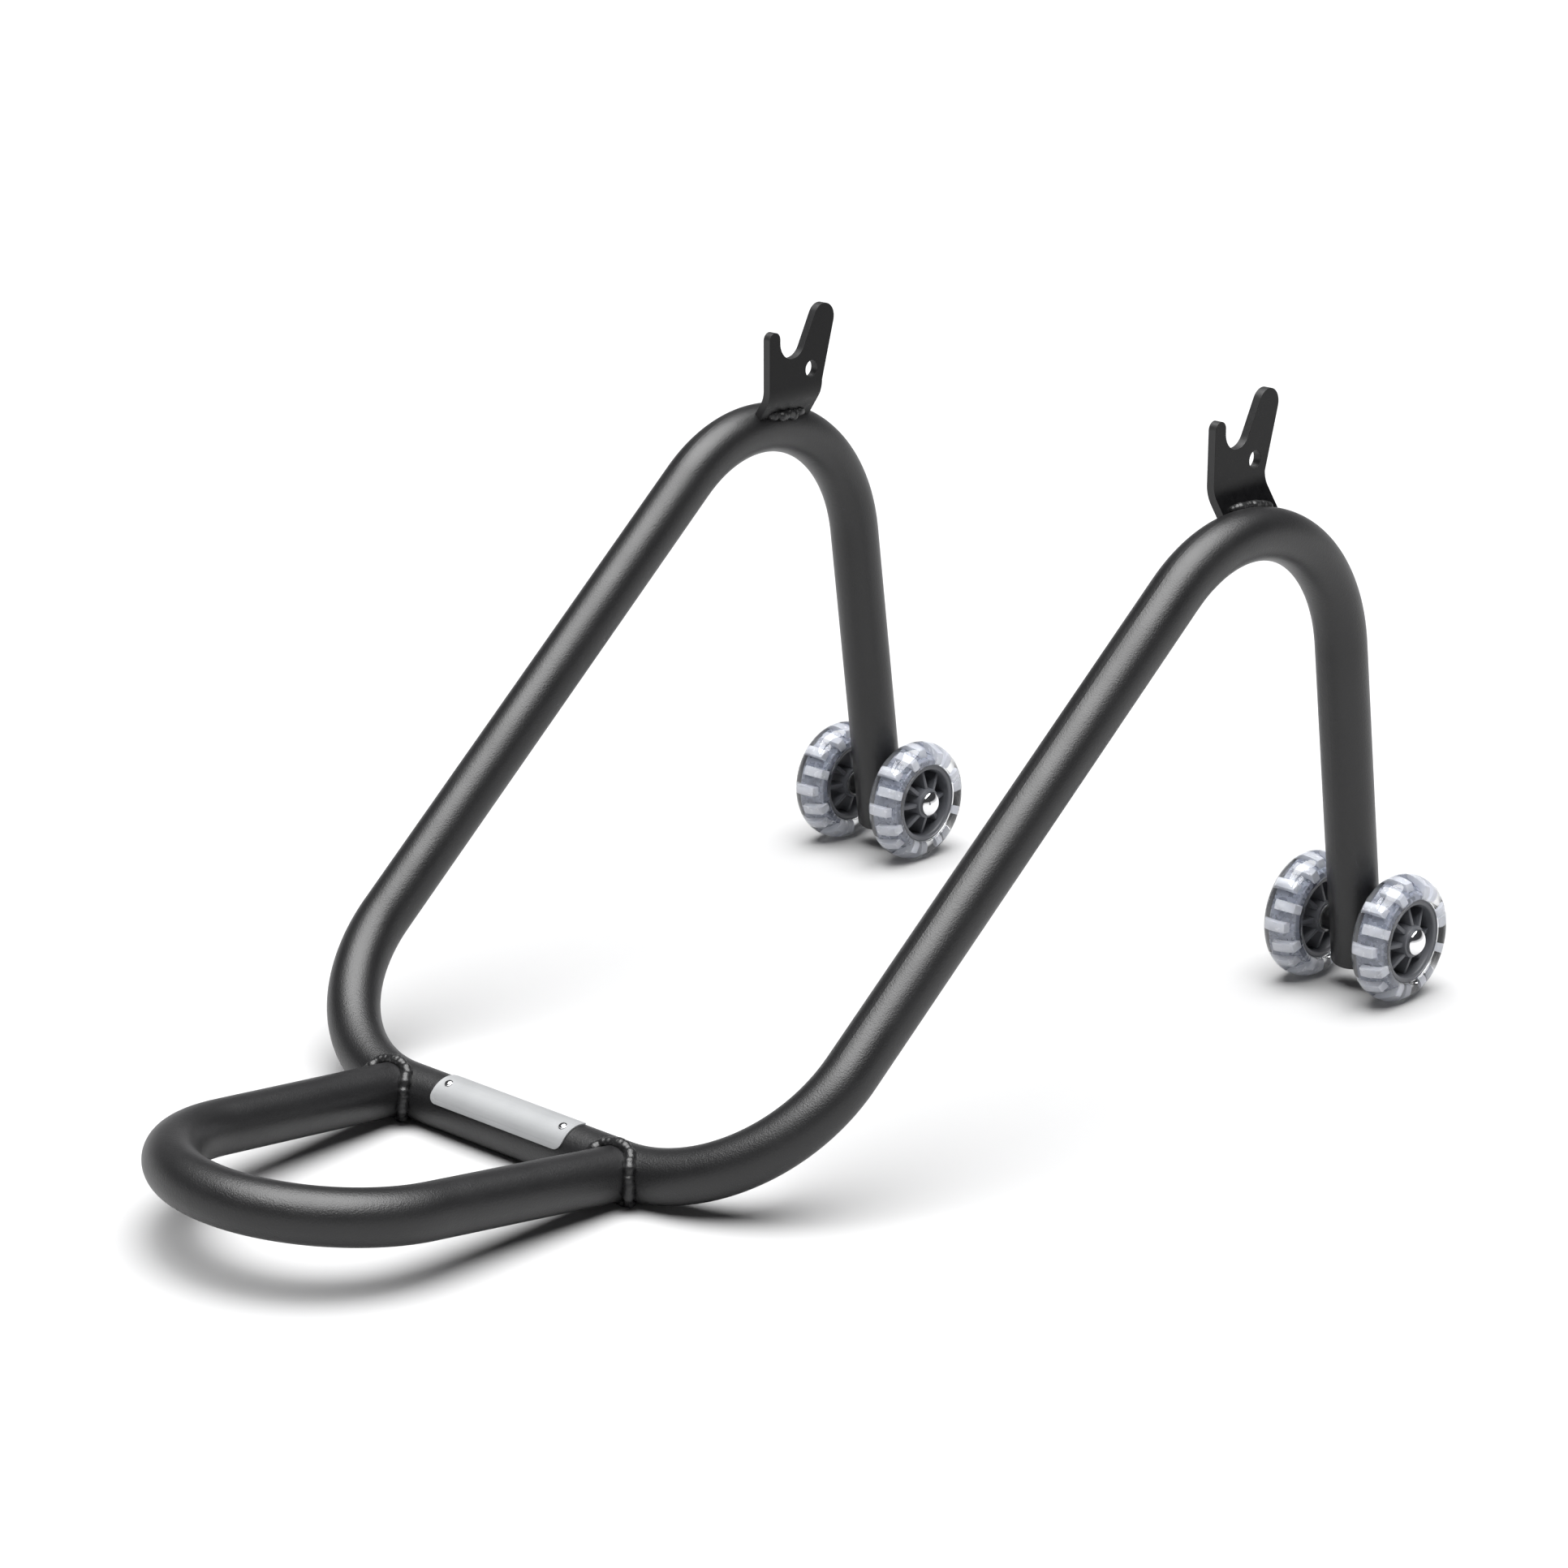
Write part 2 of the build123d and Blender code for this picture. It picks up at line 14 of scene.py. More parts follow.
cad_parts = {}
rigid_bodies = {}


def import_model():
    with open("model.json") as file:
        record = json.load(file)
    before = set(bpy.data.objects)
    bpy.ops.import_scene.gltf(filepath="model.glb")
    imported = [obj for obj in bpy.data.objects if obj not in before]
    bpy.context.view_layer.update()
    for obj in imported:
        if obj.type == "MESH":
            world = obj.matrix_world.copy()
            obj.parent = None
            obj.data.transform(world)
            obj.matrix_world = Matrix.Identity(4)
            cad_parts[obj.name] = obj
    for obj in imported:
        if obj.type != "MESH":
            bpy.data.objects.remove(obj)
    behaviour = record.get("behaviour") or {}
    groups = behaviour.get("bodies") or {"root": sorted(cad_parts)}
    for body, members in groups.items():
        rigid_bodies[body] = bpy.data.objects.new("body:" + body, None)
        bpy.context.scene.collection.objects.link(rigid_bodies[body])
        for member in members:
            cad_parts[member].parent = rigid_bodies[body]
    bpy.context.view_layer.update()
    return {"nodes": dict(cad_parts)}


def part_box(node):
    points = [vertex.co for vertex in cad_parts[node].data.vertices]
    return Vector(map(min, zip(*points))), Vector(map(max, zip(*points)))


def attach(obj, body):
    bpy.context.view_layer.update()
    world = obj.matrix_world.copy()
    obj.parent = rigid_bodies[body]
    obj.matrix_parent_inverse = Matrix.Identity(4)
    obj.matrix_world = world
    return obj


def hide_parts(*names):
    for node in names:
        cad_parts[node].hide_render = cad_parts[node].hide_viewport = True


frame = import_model()
nodes = frame["nodes"]

# %% [markdown]
# ## Camera
# The stand is seen from its right front corner, from a little above, through a long lens, so that the
# tubes stay nearly parallel. The camera's turn is made from the direction it looks along.

# %% Camera
CAMERA_PLACE = Vector((1.5475, -1.6385, 0.9201))
CAMERA_TARGET = Vector((0.0098, 0.0431, 0.1605))
camera_data = bpy.data.cameras.new("camera")
camera_data.lens = 99.31
camera_data.sensor_width = 36.0
camera = bpy.data.objects.new("camera", camera_data)
camera.location = CAMERA_PLACE
camera.rotation_mode = "QUATERNION"
camera.rotation_quaternion = (CAMERA_TARGET - CAMERA_PLACE).to_track_quat("-Z", "Y")
bpy.context.scene.collection.objects.link(camera)
bpy.context.scene.camera = camera
print("camera is", round((CAMERA_TARGET - CAMERA_PLACE).length, 3), "m from the stand")

# %% [markdown]
# ## Floor and light
# A small object on white is lit by one wide and strong soft box overhead. It gives the tubes one broad
# highlight, and the floor a shadow that stays under each tube. A sun with a wide disc is such a box, and
# it lights the whole floor alike. The paper is a shade that the lamp just brings to white: a paler one
# would shine back at the black coat and wash it out. The room is a low pale sweep with dark above it.

# %% Floor
FLOOR_SIZE = 60.0
bpy.ops.object.select_all(action="DESELECT")
bpy.ops.mesh.primitive_plane_add(size=FLOOR_SIZE, location=(0, 0, 0))
floor = bpy.context.object
floor.name = "studio_floor"
paper = bpy.data.materials.new("white_paper")
paper.use_nodes = True
paper_shader = paper.node_tree.nodes["Principled BSDF"]
paper_shader.inputs["Base Color"].default_value = (0.42, 0.42, 0.422, 1)
paper_shader.inputs["Roughness"].default_value = 0.9
paper_shader.inputs["Specular IOR Level"].default_value = 0.1
floor.data.materials.append(paper)
print("floor is", FLOOR_SIZE, "m wide")

# %% Soft box overhead
BOX_STRENGTH, BOX_WIDTH, BOX_STANDS_AT = 8.6, 66, Vector((0.05, -0.03, 1.0))
box_data = bpy.data.lights.new("overhead_box", type="SUN")
box_data.energy = BOX_STRENGTH
box_data.angle = radians(BOX_WIDTH)
overhead_box = bpy.data.objects.new("overhead_box", box_data)
overhead_box.rotation_mode = "QUATERNION"
overhead_box.rotation_quaternion = BOX_STANDS_AT.to_track_quat("Z", "Y")
bpy.context.scene.collection.objects.link(overhead_box)
print("overhead box", BOX_STRENGTH, "W/m2 over", BOX_WIDTH, "degrees")

# %% [markdown]
# ### Room
# What a shiny tube shows is the room around it, so the room is drawn too, as a sky that changes with
# height. A pale sweep near the floor lights the sides of the tubes. Above it the room is nearly black,
# which keeps the coat black wherever it doesn't mirror the box.

# %% Room
PALE_UP_TO, DARK_FROM = 0.10, 0.26
room = bpy.data.worlds.new("room")
bpy.context.scene.world = room
room.use_nodes = True
tree = room.node_tree
coordinates = tree.nodes.new("ShaderNodeTexCoord")
separate = tree.nodes.new("ShaderNodeSeparateXYZ")
ramp = tree.nodes.new("ShaderNodeValToRGB")
tree.links.new(coordinates.outputs["Generated"], separate.inputs["Vector"])
tree.links.new(separate.outputs["Z"], ramp.inputs["Fac"])
tree.links.new(ramp.outputs["Color"], tree.nodes["Background"].inputs["Color"])
ramp.color_ramp.elements[0].position = PALE_UP_TO
ramp.color_ramp.elements[0].color = (0.74, 0.74, 0.75, 1)
ramp.color_ramp.elements[1].position = DARK_FROM
ramp.color_ramp.elements[1].color = (0.045, 0.045, 0.048, 1)
bpy.context.scene.view_settings.view_transform = "Standard"
print("room is pale up to height", PALE_UP_TO, "of 1 and dark from", DARK_FROM)

# %% [markdown]
# ## Finishes
# Every finish is a set of nodes on object coordinates, in metres. Noise at the scale of the real grain
# moves the colour, the roughness and the bump a little, because no real coat, casting or plating is even.

# %% Helper: a shader with grain
def finish(name, colour, roughness, metallic=0.0):
    """A new material and its main shader, with plain values that a pattern may take over."""
    material = bpy.data.materials.new(name)
    material.use_nodes = True
    shader = material.node_tree.nodes["Principled BSDF"]
    shader.inputs["Base Color"].default_value = (*colour, 1)
    shader.inputs["Roughness"].default_value = roughness
    shader.inputs["Metallic"].default_value = metallic
    return material, shader


def noise(material, scale, detail=3.0, stretch=(1, 1, 1)):
    """The value of a noise pattern on object coordinates. Scale is in patches per metre."""
    links, made = material.node_tree.links, material.node_tree.nodes
    coordinates = made.new("ShaderNodeTexCoord")
    mapping = made.new("ShaderNodeMapping")
    mapping.inputs["Scale"].default_value = stretch
    pattern = made.new("ShaderNodeTexNoise")
    pattern.inputs["Scale"].default_value = scale
    pattern.inputs["Detail"].default_value = detail
    links.new(coordinates.outputs["Object"], mapping.inputs["Vector"])
    links.new(mapping.outputs["Vector"], pattern.inputs["Vector"])
    return pattern.outputs["Fac"]


def spread(material, value, low, high, start=0.3, end=0.7):
    """A value that runs from low to high as the pattern runs from start to end."""
    ranged = material.node_tree.nodes.new("ShaderNodeMapRange")
    ranged.inputs["From Min"].default_value = start
    ranged.inputs["From Max"].default_value = end
    ranged.inputs["To Min"].default_value = low
    ranged.inputs["To Max"].default_value = high
    material.node_tree.links.new(value, ranged.inputs["Value"])
    return ranged.outputs["Result"]


def tint(material, value, dark, light):
    """A colour between two, by a pattern's value."""
    mix = material.node_tree.nodes.new("ShaderNodeMix")
    mix.data_type = "RGBA"
    mix.inputs["A"].default_value = (*dark, 1)
    mix.inputs["B"].default_value = (*light, 1)
    material.node_tree.links.new(value, mix.inputs["Factor"])
    return mix.outputs["Result"]


def bump(material, shader, *layers):
    """Bumps in layers, each a pattern's value and its height in metres, one on top of the other."""
    links, made = material.node_tree.links, material.node_tree.nodes
    normal = None
    for value, height in layers:
        node = made.new("ShaderNodeBump")
        node.inputs["Distance"].default_value = height
        links.new(value, node.inputs["Height"])
        if normal is not None:
            links.new(normal, node.inputs["Normal"])
        normal = node.outputs["Normal"]
    links.new(normal, shader.inputs["Normal"])


def feed(shader, socket, value):
    """Let a pattern's value decide one of the shader's settings."""
    shader.id_data.links.new(value, shader.inputs[socket])


print("helpers for finishes are ready")

# %% [markdown]
# ### Powder coat
# Paint dust baked on steel. It is a satin black with a fine skin like orange peel, just under a
# millimetre from lump to lump, and a slower swell under it. The grain scatters the highlight.

# %% Powder coat
powder_coat, shader = finish("satin_powder_coat", (0.012, 0.012, 0.0125), 0.3)
fine = noise(powder_coat, 1150, detail=2)
slow = noise(powder_coat, 420, detail=2)
patch = noise(powder_coat, 35, detail=3)
feed(shader, "Roughness", spread(powder_coat, patch, 0.38, 0.44))
feed(shader, "Base Color", tint(powder_coat, fine, (0.003, 0.003, 0.0033), (0.007, 0.007, 0.0076)))
shader.inputs["Specular IOR Level"].default_value = 0.55
bump(powder_coat, shader, (slow, 0.00006), (fine, 0.00014))
print("powder coat", powder_coat.name)

# %% [markdown]
# ### Hook coats
# The hooks' faces are smoother than the tubes and show no grain, so they get a coat of their own with
# slow, shallow bumps. Its black is painted darker and mirrors less than the tubes' coat: painted shade for
# the dark that the faces reflect. The laser leaves a fine rough wall, where the black dries duller, and
# the wall is
# painted a little greyer: painted light along the edges. Two materials on one piece are the simple way to
# say so.

# %% Hook coats
# painted shade: a darker black that reflects less than the tubes' coat, for the dark that the faces mirror
hook_coat_painted_shade, shader = finish("smooth_black_painted_shade", (0.004, 0.004, 0.0045), 0.3)
pull = noise(hook_coat_painted_shade, 240, detail=2)
feed(shader, "Roughness", spread(hook_coat_painted_shade, pull, 0.26, 0.36))
feed(shader, "Base Color", tint(hook_coat_painted_shade, pull, (0.002, 0.002, 0.0023), (0.004, 0.004, 0.0044)))
shader.inputs["Specular IOR Level"].default_value = 0.15
bump(hook_coat_painted_shade, shader, (pull, 0.00003))

# painted light: a greyer black on the cut walls, on top of their real duller finish
wall_coat_painted_light, shader = finish("cut_wall_painted_light", (0.012, 0.012, 0.0125), 0.42)
drag = noise(wall_coat_painted_light, 1400, detail=2)
feed(shader, "Roughness", spread(wall_coat_painted_light, drag, 0.36, 0.5))
feed(shader, "Base Color", tint(wall_coat_painted_light, drag, (0.010, 0.010, 0.0105), (0.022, 0.022, 0.0225)))
bump(wall_coat_painted_light, shader, (drag, 0.00002))
print("hook coats", hook_coat_painted_shade.name, wall_coat_painted_light.name)
# %% [markdown]
# ### Metal and plastic
# The nameplate is brushed sheet, so its grain is drawn out along its length by a pattern that is
# stretched. Rivets and axle caps are polished and plated, with faint marks in the shine. The axles and
# washers are zinc plated, which is duller and a little cloudy.

# %% Nameplate, rivets and caps
plate_metal, shader = finish("brushed_plate", (0.28, 0.285, 0.29), 0.58, metallic=0.4)
brushed = noise(plate_metal, 900, detail=3, stretch=(0.04, 1, 1))
cloudy = noise(plate_metal, 60, detail=2)
feed(shader, "Roughness", spread(plate_metal, brushed, 0.52, 0.64))
feed(shader, "Base Color", tint(plate_metal, cloudy, (0.255, 0.26, 0.265), (0.305, 0.31, 0.315)))
bump(plate_metal, shader, (brushed, 0.00001))

polished, shader = finish("polished_rivet", (0.52, 0.52, 0.53), 0.16, metallic=1.0)
scuffed = noise(polished, 2600, detail=3)
feed(shader, "Roughness", spread(polished, scuffed, 0.12, 0.24))
bump(polished, shader, (scuffed, 0.00001))

chrome, shader = finish("chrome_plating", (0.90, 0.90, 0.91), 0.05, metallic=1.0)
smudged = noise(chrome, 420, detail=3)
feed(shader, "Roughness", spread(chrome, smudged, 0.03, 0.10))
feed(shader, "Base Color", tint(chrome, smudged, (0.86, 0.86, 0.87), (0.93, 0.93, 0.935)))
bump(chrome, shader, (smudged, 0.000004))

zinc, shader = finish("zinc_plating", (0.55, 0.56, 0.57), 0.38, metallic=1.0)
spangle = noise(zinc, 700, detail=2)
feed(shader, "Roughness", spread(zinc, spangle, 0.30, 0.48))
feed(shader, "Base Color", tint(zinc, spangle, (0.46, 0.47, 0.49), (0.62, 0.62, 0.61)))
bump(zinc, shader, (spangle, 0.00001))
print("metals", plate_metal.name, polished.name, chrome.name, zinc.name)

# %% [markdown]
# ### Moulded plastics
# The hubs are grey nylon and the plugs in the legs are black. Both have the dull and slightly uneven skin
# of a moulding. A fine pattern moves the roughness, and a slow one moves the colour as the flow of
# the melt does.

# %% Moulded plastics
hub_nylon, shader = finish("grey_nylon", (0.16, 0.165, 0.18), 0.38)
skin = noise(hub_nylon, 1500, detail=2)
flow = noise(hub_nylon, 90, detail=3)
feed(shader, "Roughness", spread(hub_nylon, skin, 0.32, 0.46))
feed(shader, "Base Color", tint(hub_nylon, flow, (0.070, 0.073, 0.083), (0.095, 0.099, 0.11)))
bump(hub_nylon, shader, (skin, 0.00002))

plug_plastic, shader = finish("black_plug_plastic", (0.02, 0.02, 0.021), 0.6)
pebbled = noise(plug_plastic, 1200, detail=3)
feed(shader, "Roughness", spread(plug_plastic, pebbled, 0.5, 0.7))
feed(shader, "Base Color", tint(plug_plastic, pebbled, (0.016, 0.016, 0.017), (0.028, 0.028, 0.029)))
bump(plug_plastic, shader, (pebbled, 0.00004))
print("plastics", hub_nylon.name, plug_plastic.name)

# %% [markdown]
# ### Cast urethane
# The tyres are cast clear, with a cold blue tinge where the wall is thick. Clear plastic on a real wheel
# is never optically clean: faint swirls in the cast bend what is seen through it. The core inside the
# tyre is a frosted blue-grey. Its teeth are painted near white, partly their own pale tone and partly a
# painted glint for the light off their sides, so that they read as bright stripes through the lens.

# %% Cast urethane
urethane, shader = finish("clear_urethane", (0.985, 0.992, 1.0), 0.02)
shader.inputs["Transmission Weight"].default_value = 1.0
shader.inputs["IOR"].default_value = 1.49
swirl = noise(urethane, 110, detail=1)
feed(shader, "Roughness", spread(urethane, swirl, 0.0, 0.03))
bump(urethane, shader, (swirl, 0.00001))

core_plastic, shader = finish("frosted_core", (0.40, 0.43, 0.52), 0.25)
shader.inputs["Transmission Weight"].default_value = 0.4
shader.inputs["IOR"].default_value = 1.55
frost = noise(core_plastic, 300, detail=2)
feed(shader, "Roughness", spread(core_plastic, frost, 0.2, 0.35))
feed(shader, "Base Color", tint(core_plastic, frost, (0.33, 0.36, 0.46), (0.48, 0.51, 0.60)))
bump(core_plastic, shader, (frost, 0.00002))

# painted glint: the teeth are near white, partly their own tone and partly standing in for light off their
# sides
tooth_plastic_painted_glint, shader = finish("pale_teeth_painted_glint", (0.86, 0.88, 0.93), 0.2)
shader.inputs["Transmission Weight"].default_value = 0.15
shader.inputs["IOR"].default_value = 1.55
milky = noise(tooth_plastic_painted_glint, 260, detail=2)
feed(shader, "Roughness", spread(tooth_plastic_painted_glint, milky, 0.12, 0.3))
feed(shader, "Base Color", tint(tooth_plastic_painted_glint, milky, (0.70, 0.73, 0.82), (0.95, 0.96, 1.0)))
bump(tooth_plastic_painted_glint, shader, (milky, 0.00002))
print("clear plastics", urethane.name, core_plastic.name, tooth_plastic_painted_glint.name)

# %% [markdown]
# ## Tubes, plugs, axles and washers
# The bent tubes come from the CAD as they are: their bends are already smooth, and what they need is the
# coat. The plugs, axles, sleeves and washers have the right shape too, so they only get a finish.

# %% Dress the CAD pieces that stay
COATED = ["crossbar_tube", "handle_tube"]
COATED += [f"{part}_{side}" for part in ("corner_bend", "arm_tube", "arch_bend", "leg_tube", "axle_sleeve")
           for side in ("left", "right")]
PLUGS = ["leg_plug_left", "leg_plug_right"]
WHEELS = [(side, place) for side in ("left", "right") for place in ("outer", "inner")]
ZINCED = ["axle_left", "axle_right"] + [f"washer_{side}_{place}" for side, place in WHEELS]


def dress(names, material):
    """Put one finish on CAD pieces, through their material slots."""
    for name in names:
        for material_slot in nodes[name].material_slots:
            material_slot.material = material


dress(COATED, powder_coat)
dress(PLUGS, plug_plastic)
dress(ZINCED, zinc)
print("dressed", len(COATED) + len(PLUGS) + len(ZINCED), "CAD pieces")

# %% [markdown]
# ## Modelling helpers
# Every new piece starts from a primitive. Before each one, nothing may be selected, because operators
# act on all that is selected. A finished piece has its place in its mesh, and its object at the origin.

# %% Helpers for making and finishing a piece
def nothing_selected():
    """Leave edit mode and deselect everything."""
    if bpy.context.object and bpy.context.object.mode != "OBJECT":
        bpy.ops.object.mode_set(mode="OBJECT")
    bpy.ops.object.select_all(action="DESELECT")


def only(piece):
    """Select this piece alone."""
    nothing_selected()
    piece.select_set(True)
    bpy.context.view_layer.objects.active = piece


def applied(piece, kind, **settings):
    """Add a modifier with these settings and apply it."""
    only(piece)
    modifier = piece.modifiers.new(kind.lower(), kind)
    for key, value in settings.items():
        setattr(modifier, key, value)
    bpy.ops.object.modifier_apply(modifier=modifier.name)


def tidy_mesh(piece):
    """Merge doubles and turn every face outwards."""
    only(piece)
    bpy.ops.object.mode_set(mode="EDIT")
    bpy.ops.mesh.select_all(action="SELECT")
    bpy.ops.mesh.remove_doubles(threshold=0.000002)
    bpy.ops.mesh.normals_make_consistent(inside=False)
    bpy.ops.object.mode_set(mode="OBJECT")


def in_place(piece, smooth_angle=40):
    """Place in the mesh, object at the origin, round faces shaded round."""
    only(piece)
    bpy.ops.object.transform_apply(location=True, rotation=True, scale=True)
    bpy.ops.object.shade_smooth_by_angle(angle=radians(smooth_angle))


def hand_over(piece, name, body, material, slot, *replaced):
    """Name a finished piece, paint it, and let it ride on its body in place of CAD nodes."""
    piece.name = name
    piece.data.name = name
    piece.data.materials.clear()
    piece.data.materials.append(material)
    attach(piece, body)
    if replaced:
        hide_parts(*replaced)
    print(name, len(piece.data.polygons), "faces on", body)


def joined(pieces):
    """Several objects as one."""
    nothing_selected()
    for piece in pieces:
        piece.select_set(True)
    bpy.context.view_layer.objects.active = pieces[0]
    bpy.ops.object.join()
    return pieces[0]


def own_copy(piece, move=(0, 0, 0)):
    """A copy with its own mesh, moved."""
    only(piece)
    bpy.ops.object.duplicate(linked=False)
    copy = bpy.context.object
    copy.location = copy.location + Vector(move)
    bpy.context.view_layer.update()
    only(copy)
    bpy.ops.object.transform_apply(location=True, rotation=True, scale=True)
    return copy


print("helpers for selecting, finishing and copying are ready")

# %% Helper: turn a profile on the wheel's axis
def turned(centre, profile, steps=96, closed=True):
    """A lathe. The profile is (along X, radius) points from the centre, walked once round."""
    nothing_selected()
    bpy.ops.mesh.primitive_plane_add(size=0.001, location=centre)
    piece = bpy.context.object
    bpy.ops.object.mode_set(mode="EDIT")
    bpy.ops.mesh.merge(type="CENTER")
    bpy.ops.transform.translate(value=(profile[0][0], 0, profile[0][1]))
    walk = profile + [profile[0]] if closed else profile
    for here, there in zip(walk, walk[1:]):
        step = (there[0] - here[0], 0, there[1] - here[1])
        bpy.ops.mesh.extrude_vertices_move(TRANSFORM_OT_translate={"value": step})
    bpy.ops.mesh.select_all(action="SELECT")
    bpy.ops.mesh.spin(steps=steps, angle=2 * pi, center=centre, axis=(1, 0, 0))
    bpy.ops.object.mode_set(mode="OBJECT")
    tidy_mesh(piece)
    return piece


def arc(centre, radii, start, end, count):
    """Points of a stretch of an ellipse, from one angle in degrees to another, X first."""
    angles = [radians(start + (end - start) * i / count) for i in range(count + 1)]
    return [(centre[0] + radii[0] * cos(a), centre[1] + radii[1] * sin(a)) for a in angles]


print("the lathe is ready")

# %% [markdown]
# ## Wheels
# Each wheel is a grey hub with eight sloping spokes, a frosted core round it with pale teeth that grip
# the tyre, and a clear tyre cast over both. The tyre is a lens, so what is inside it shows large.
# One wheel is made at the left outer place, and the other three are copies with their own meshes.

# %% Sizes of a wheel
MM = 0.001
TREAD_RADIUS, TYRE_HALF, SHOULDER = 38.0 * MM, 12.2 * MM, 28.0 * MM
RIM_RADIUS, RIM_HALF, RIM_INSIDE = 25.1 * MM, 10.1 * MM, 21.5 * MM
BOSS_RADIUS, BOSS_HALF, BORE = 10.0 * MM, 11.0 * MM, 4.05 * MM
SPOKES, SPOKE_THICK = 8, 2.6 * MM
TEETH, TOOTH_TOP, TOOTH_HALF, TOOTH_THICK, TOOTH_SHIFT = 16, 32.3 * MM, 6.2 * MM, 5.6 * MM, 2.4 * MM
low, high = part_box("wheel_tyre_left_outer")
wheel_middle = (low + high) / 2
print("left outer wheel's middle", [round(v, 4) for v in wheel_middle])

# %% [markdown]
# ### Tyre
# The tread is half an ellipse with round shoulders below it, spun round the axis like the other round
# pieces. The tyre's bore is hidden inside the rim, and the core stands in the solid urethane with no air
# between. That way light meets each surface only once, and no false layer of air shows.

# %% Tyre
BORE_HALF, BORE_RADIUS = 9.0 * MM, 23.4 * MM
tread = arc((0, SHOULDER), (TYRE_HALF, TREAD_RADIUS - SHOULDER), 0, 180, 28)
left_shoulder = arc((-RIM_HALF, SHOULDER), (TYRE_HALF - RIM_HALF, SHOULDER - RIM_RADIUS), 180, 270, 6)[1:]
right_shoulder = [(-x, r) for x, r in reversed(left_shoulder)]
hidden_bore = [(-BORE_HALF, BORE_RADIUS), (BORE_HALF, BORE_RADIUS)]
tyre = turned(wheel_middle, tread + left_shoulder + hidden_bore + right_shoulder, steps=128)
in_place(tyre, smooth_angle=60)
print("tyre", len(tyre.data.polygons), "faces")

# %% [markdown]
# ### Rim and boss
# The rim is a moulded band with a small step at each side where the tyre ends. The boss is the thick
# middle that turns on the axle. Both are round, so both are turned from a profile.

# %% Rim and boss
rim_profile = [
    (-9.3 * MM, RIM_RADIUS), (9.3 * MM, RIM_RADIUS), (9.9 * MM, 24.9 * MM), (RIM_HALF, 24.4 * MM),
    (RIM_HALF, 24.0 * MM), (9.6 * MM, 23.7 * MM), (9.5 * MM, 22.4 * MM), (9.2 * MM, 21.9 * MM),
    (8.6 * MM, RIM_INSIDE), (0.0, 20.9 * MM), (-8.6 * MM, RIM_INSIDE), (-9.2 * MM, 21.9 * MM),
    (-9.5 * MM, 22.4 * MM), (-9.6 * MM, 23.7 * MM), (-RIM_HALF, 24.0 * MM), (-RIM_HALF, 24.4 * MM),
    (-9.9 * MM, 24.9 * MM),
]
boss_profile = [
    (-BOSS_HALF, BORE), (-BOSS_HALF, 8.9 * MM), (-10.8 * MM, 9.3 * MM), (-10.4 * MM, 9.5 * MM),
    (0.0, BOSS_RADIUS), (10.4 * MM, 9.5 * MM), (10.8 * MM, 9.3 * MM), (BOSS_HALF, 8.9 * MM),
    (BOSS_HALF, BORE),
]
rim = turned(wheel_middle, rim_profile)
boss = turned(wheel_middle, boss_profile, steps=64)
print("rim and boss turned")

# %% [markdown]
# ### Spokes
# A spoke is a block that tapers from the boss to the rim, so its two edges slope like a shallow roof. It
# is modelled once at the top of the wheel, and its copies are turned to their places.

# %% Spokes
SPOKE_ROOT, SPOKE_TIP = 8.6 * MM, 22.4 * MM
ROOT_HALF, TIP_HALF = 9.6 * MM, 5.0 * MM


def block(centre, size):
    """A box of this size round this point."""
    nothing_selected()
    bpy.ops.mesh.primitive_cube_add(size=1, location=centre)
    piece = bpy.context.object
    piece.scale = size
    bpy.ops.object.transform_apply(location=False, rotation=False, scale=True)
    return piece


def round_the_wheel(piece, count, alternate=0.0):
    """Copies of a piece, turned round the wheel's axis, with every other one moved along it."""
    copies = []
    for number in range(count):
        shift = alternate if number % 2 else -alternate
        copy = own_copy(piece, (shift, 0, 0))
        only(copy)
        bpy.ops.object.mode_set(mode="EDIT")
        bpy.ops.mesh.select_all(action="SELECT")
        bpy.ops.transform.rotate(
            value=2 * pi * number / count, orient_axis="X", center_override=wheel_middle
        )
        bpy.ops.object.mode_set(mode="OBJECT")
        copies.append(copy)
    bpy.data.objects.remove(piece)
    return joined(copies)


middle_of_spoke = wheel_middle + Vector((0, 0, (SPOKE_ROOT + SPOKE_TIP) / 2))
spoke = block(middle_of_spoke, (2 * ROOT_HALF, SPOKE_THICK, SPOKE_TIP - SPOKE_ROOT))
for vertex in spoke.data.vertices:
    if vertex.co.z > 0:
        vertex.co.x *= TIP_HALF / ROOT_HALF
applied(spoke, "BEVEL", width=0.0005, segments=2)
spokes = round_the_wheel(spoke, SPOKES)
hub = joined([rim, boss, spokes])
in_place(hub, smooth_angle=35)
print("hub", len(hub.data.polygons), "faces")

# %% [markdown]
# ### Core
# The core is a ring on the rim with teeth that stand alternately to the left and to the right, which
# keys the urethane both ways. The teeth are a piece of their own, because they are painted the paler of
# the two, partly as a painted glint.

# %% Core
core_profile = [
    (-6.5 * MM, 24.9 * MM), (-6.5 * MM, 27.4 * MM), (-6.0 * MM, 27.9 * MM), (6.0 * MM, 27.9 * MM),
    (6.5 * MM, 27.4 * MM), (6.5 * MM, 24.9 * MM),
]
core = turned(wheel_middle, core_profile)
TOOTH_ROOT = 26.5 * MM
middle_of_tooth = wheel_middle + Vector((0, 0, (TOOTH_ROOT + TOOTH_TOP) / 2))
tooth = block(middle_of_tooth, (2 * TOOTH_HALF, TOOTH_THICK, TOOTH_TOP - TOOTH_ROOT))
applied(tooth, "BEVEL", width=0.0004, segments=2)
teeth = round_the_wheel(tooth, TEETH, alternate=TOOTH_SHIFT)
for piece in (core, teeth):
    in_place(piece, smooth_angle=35)
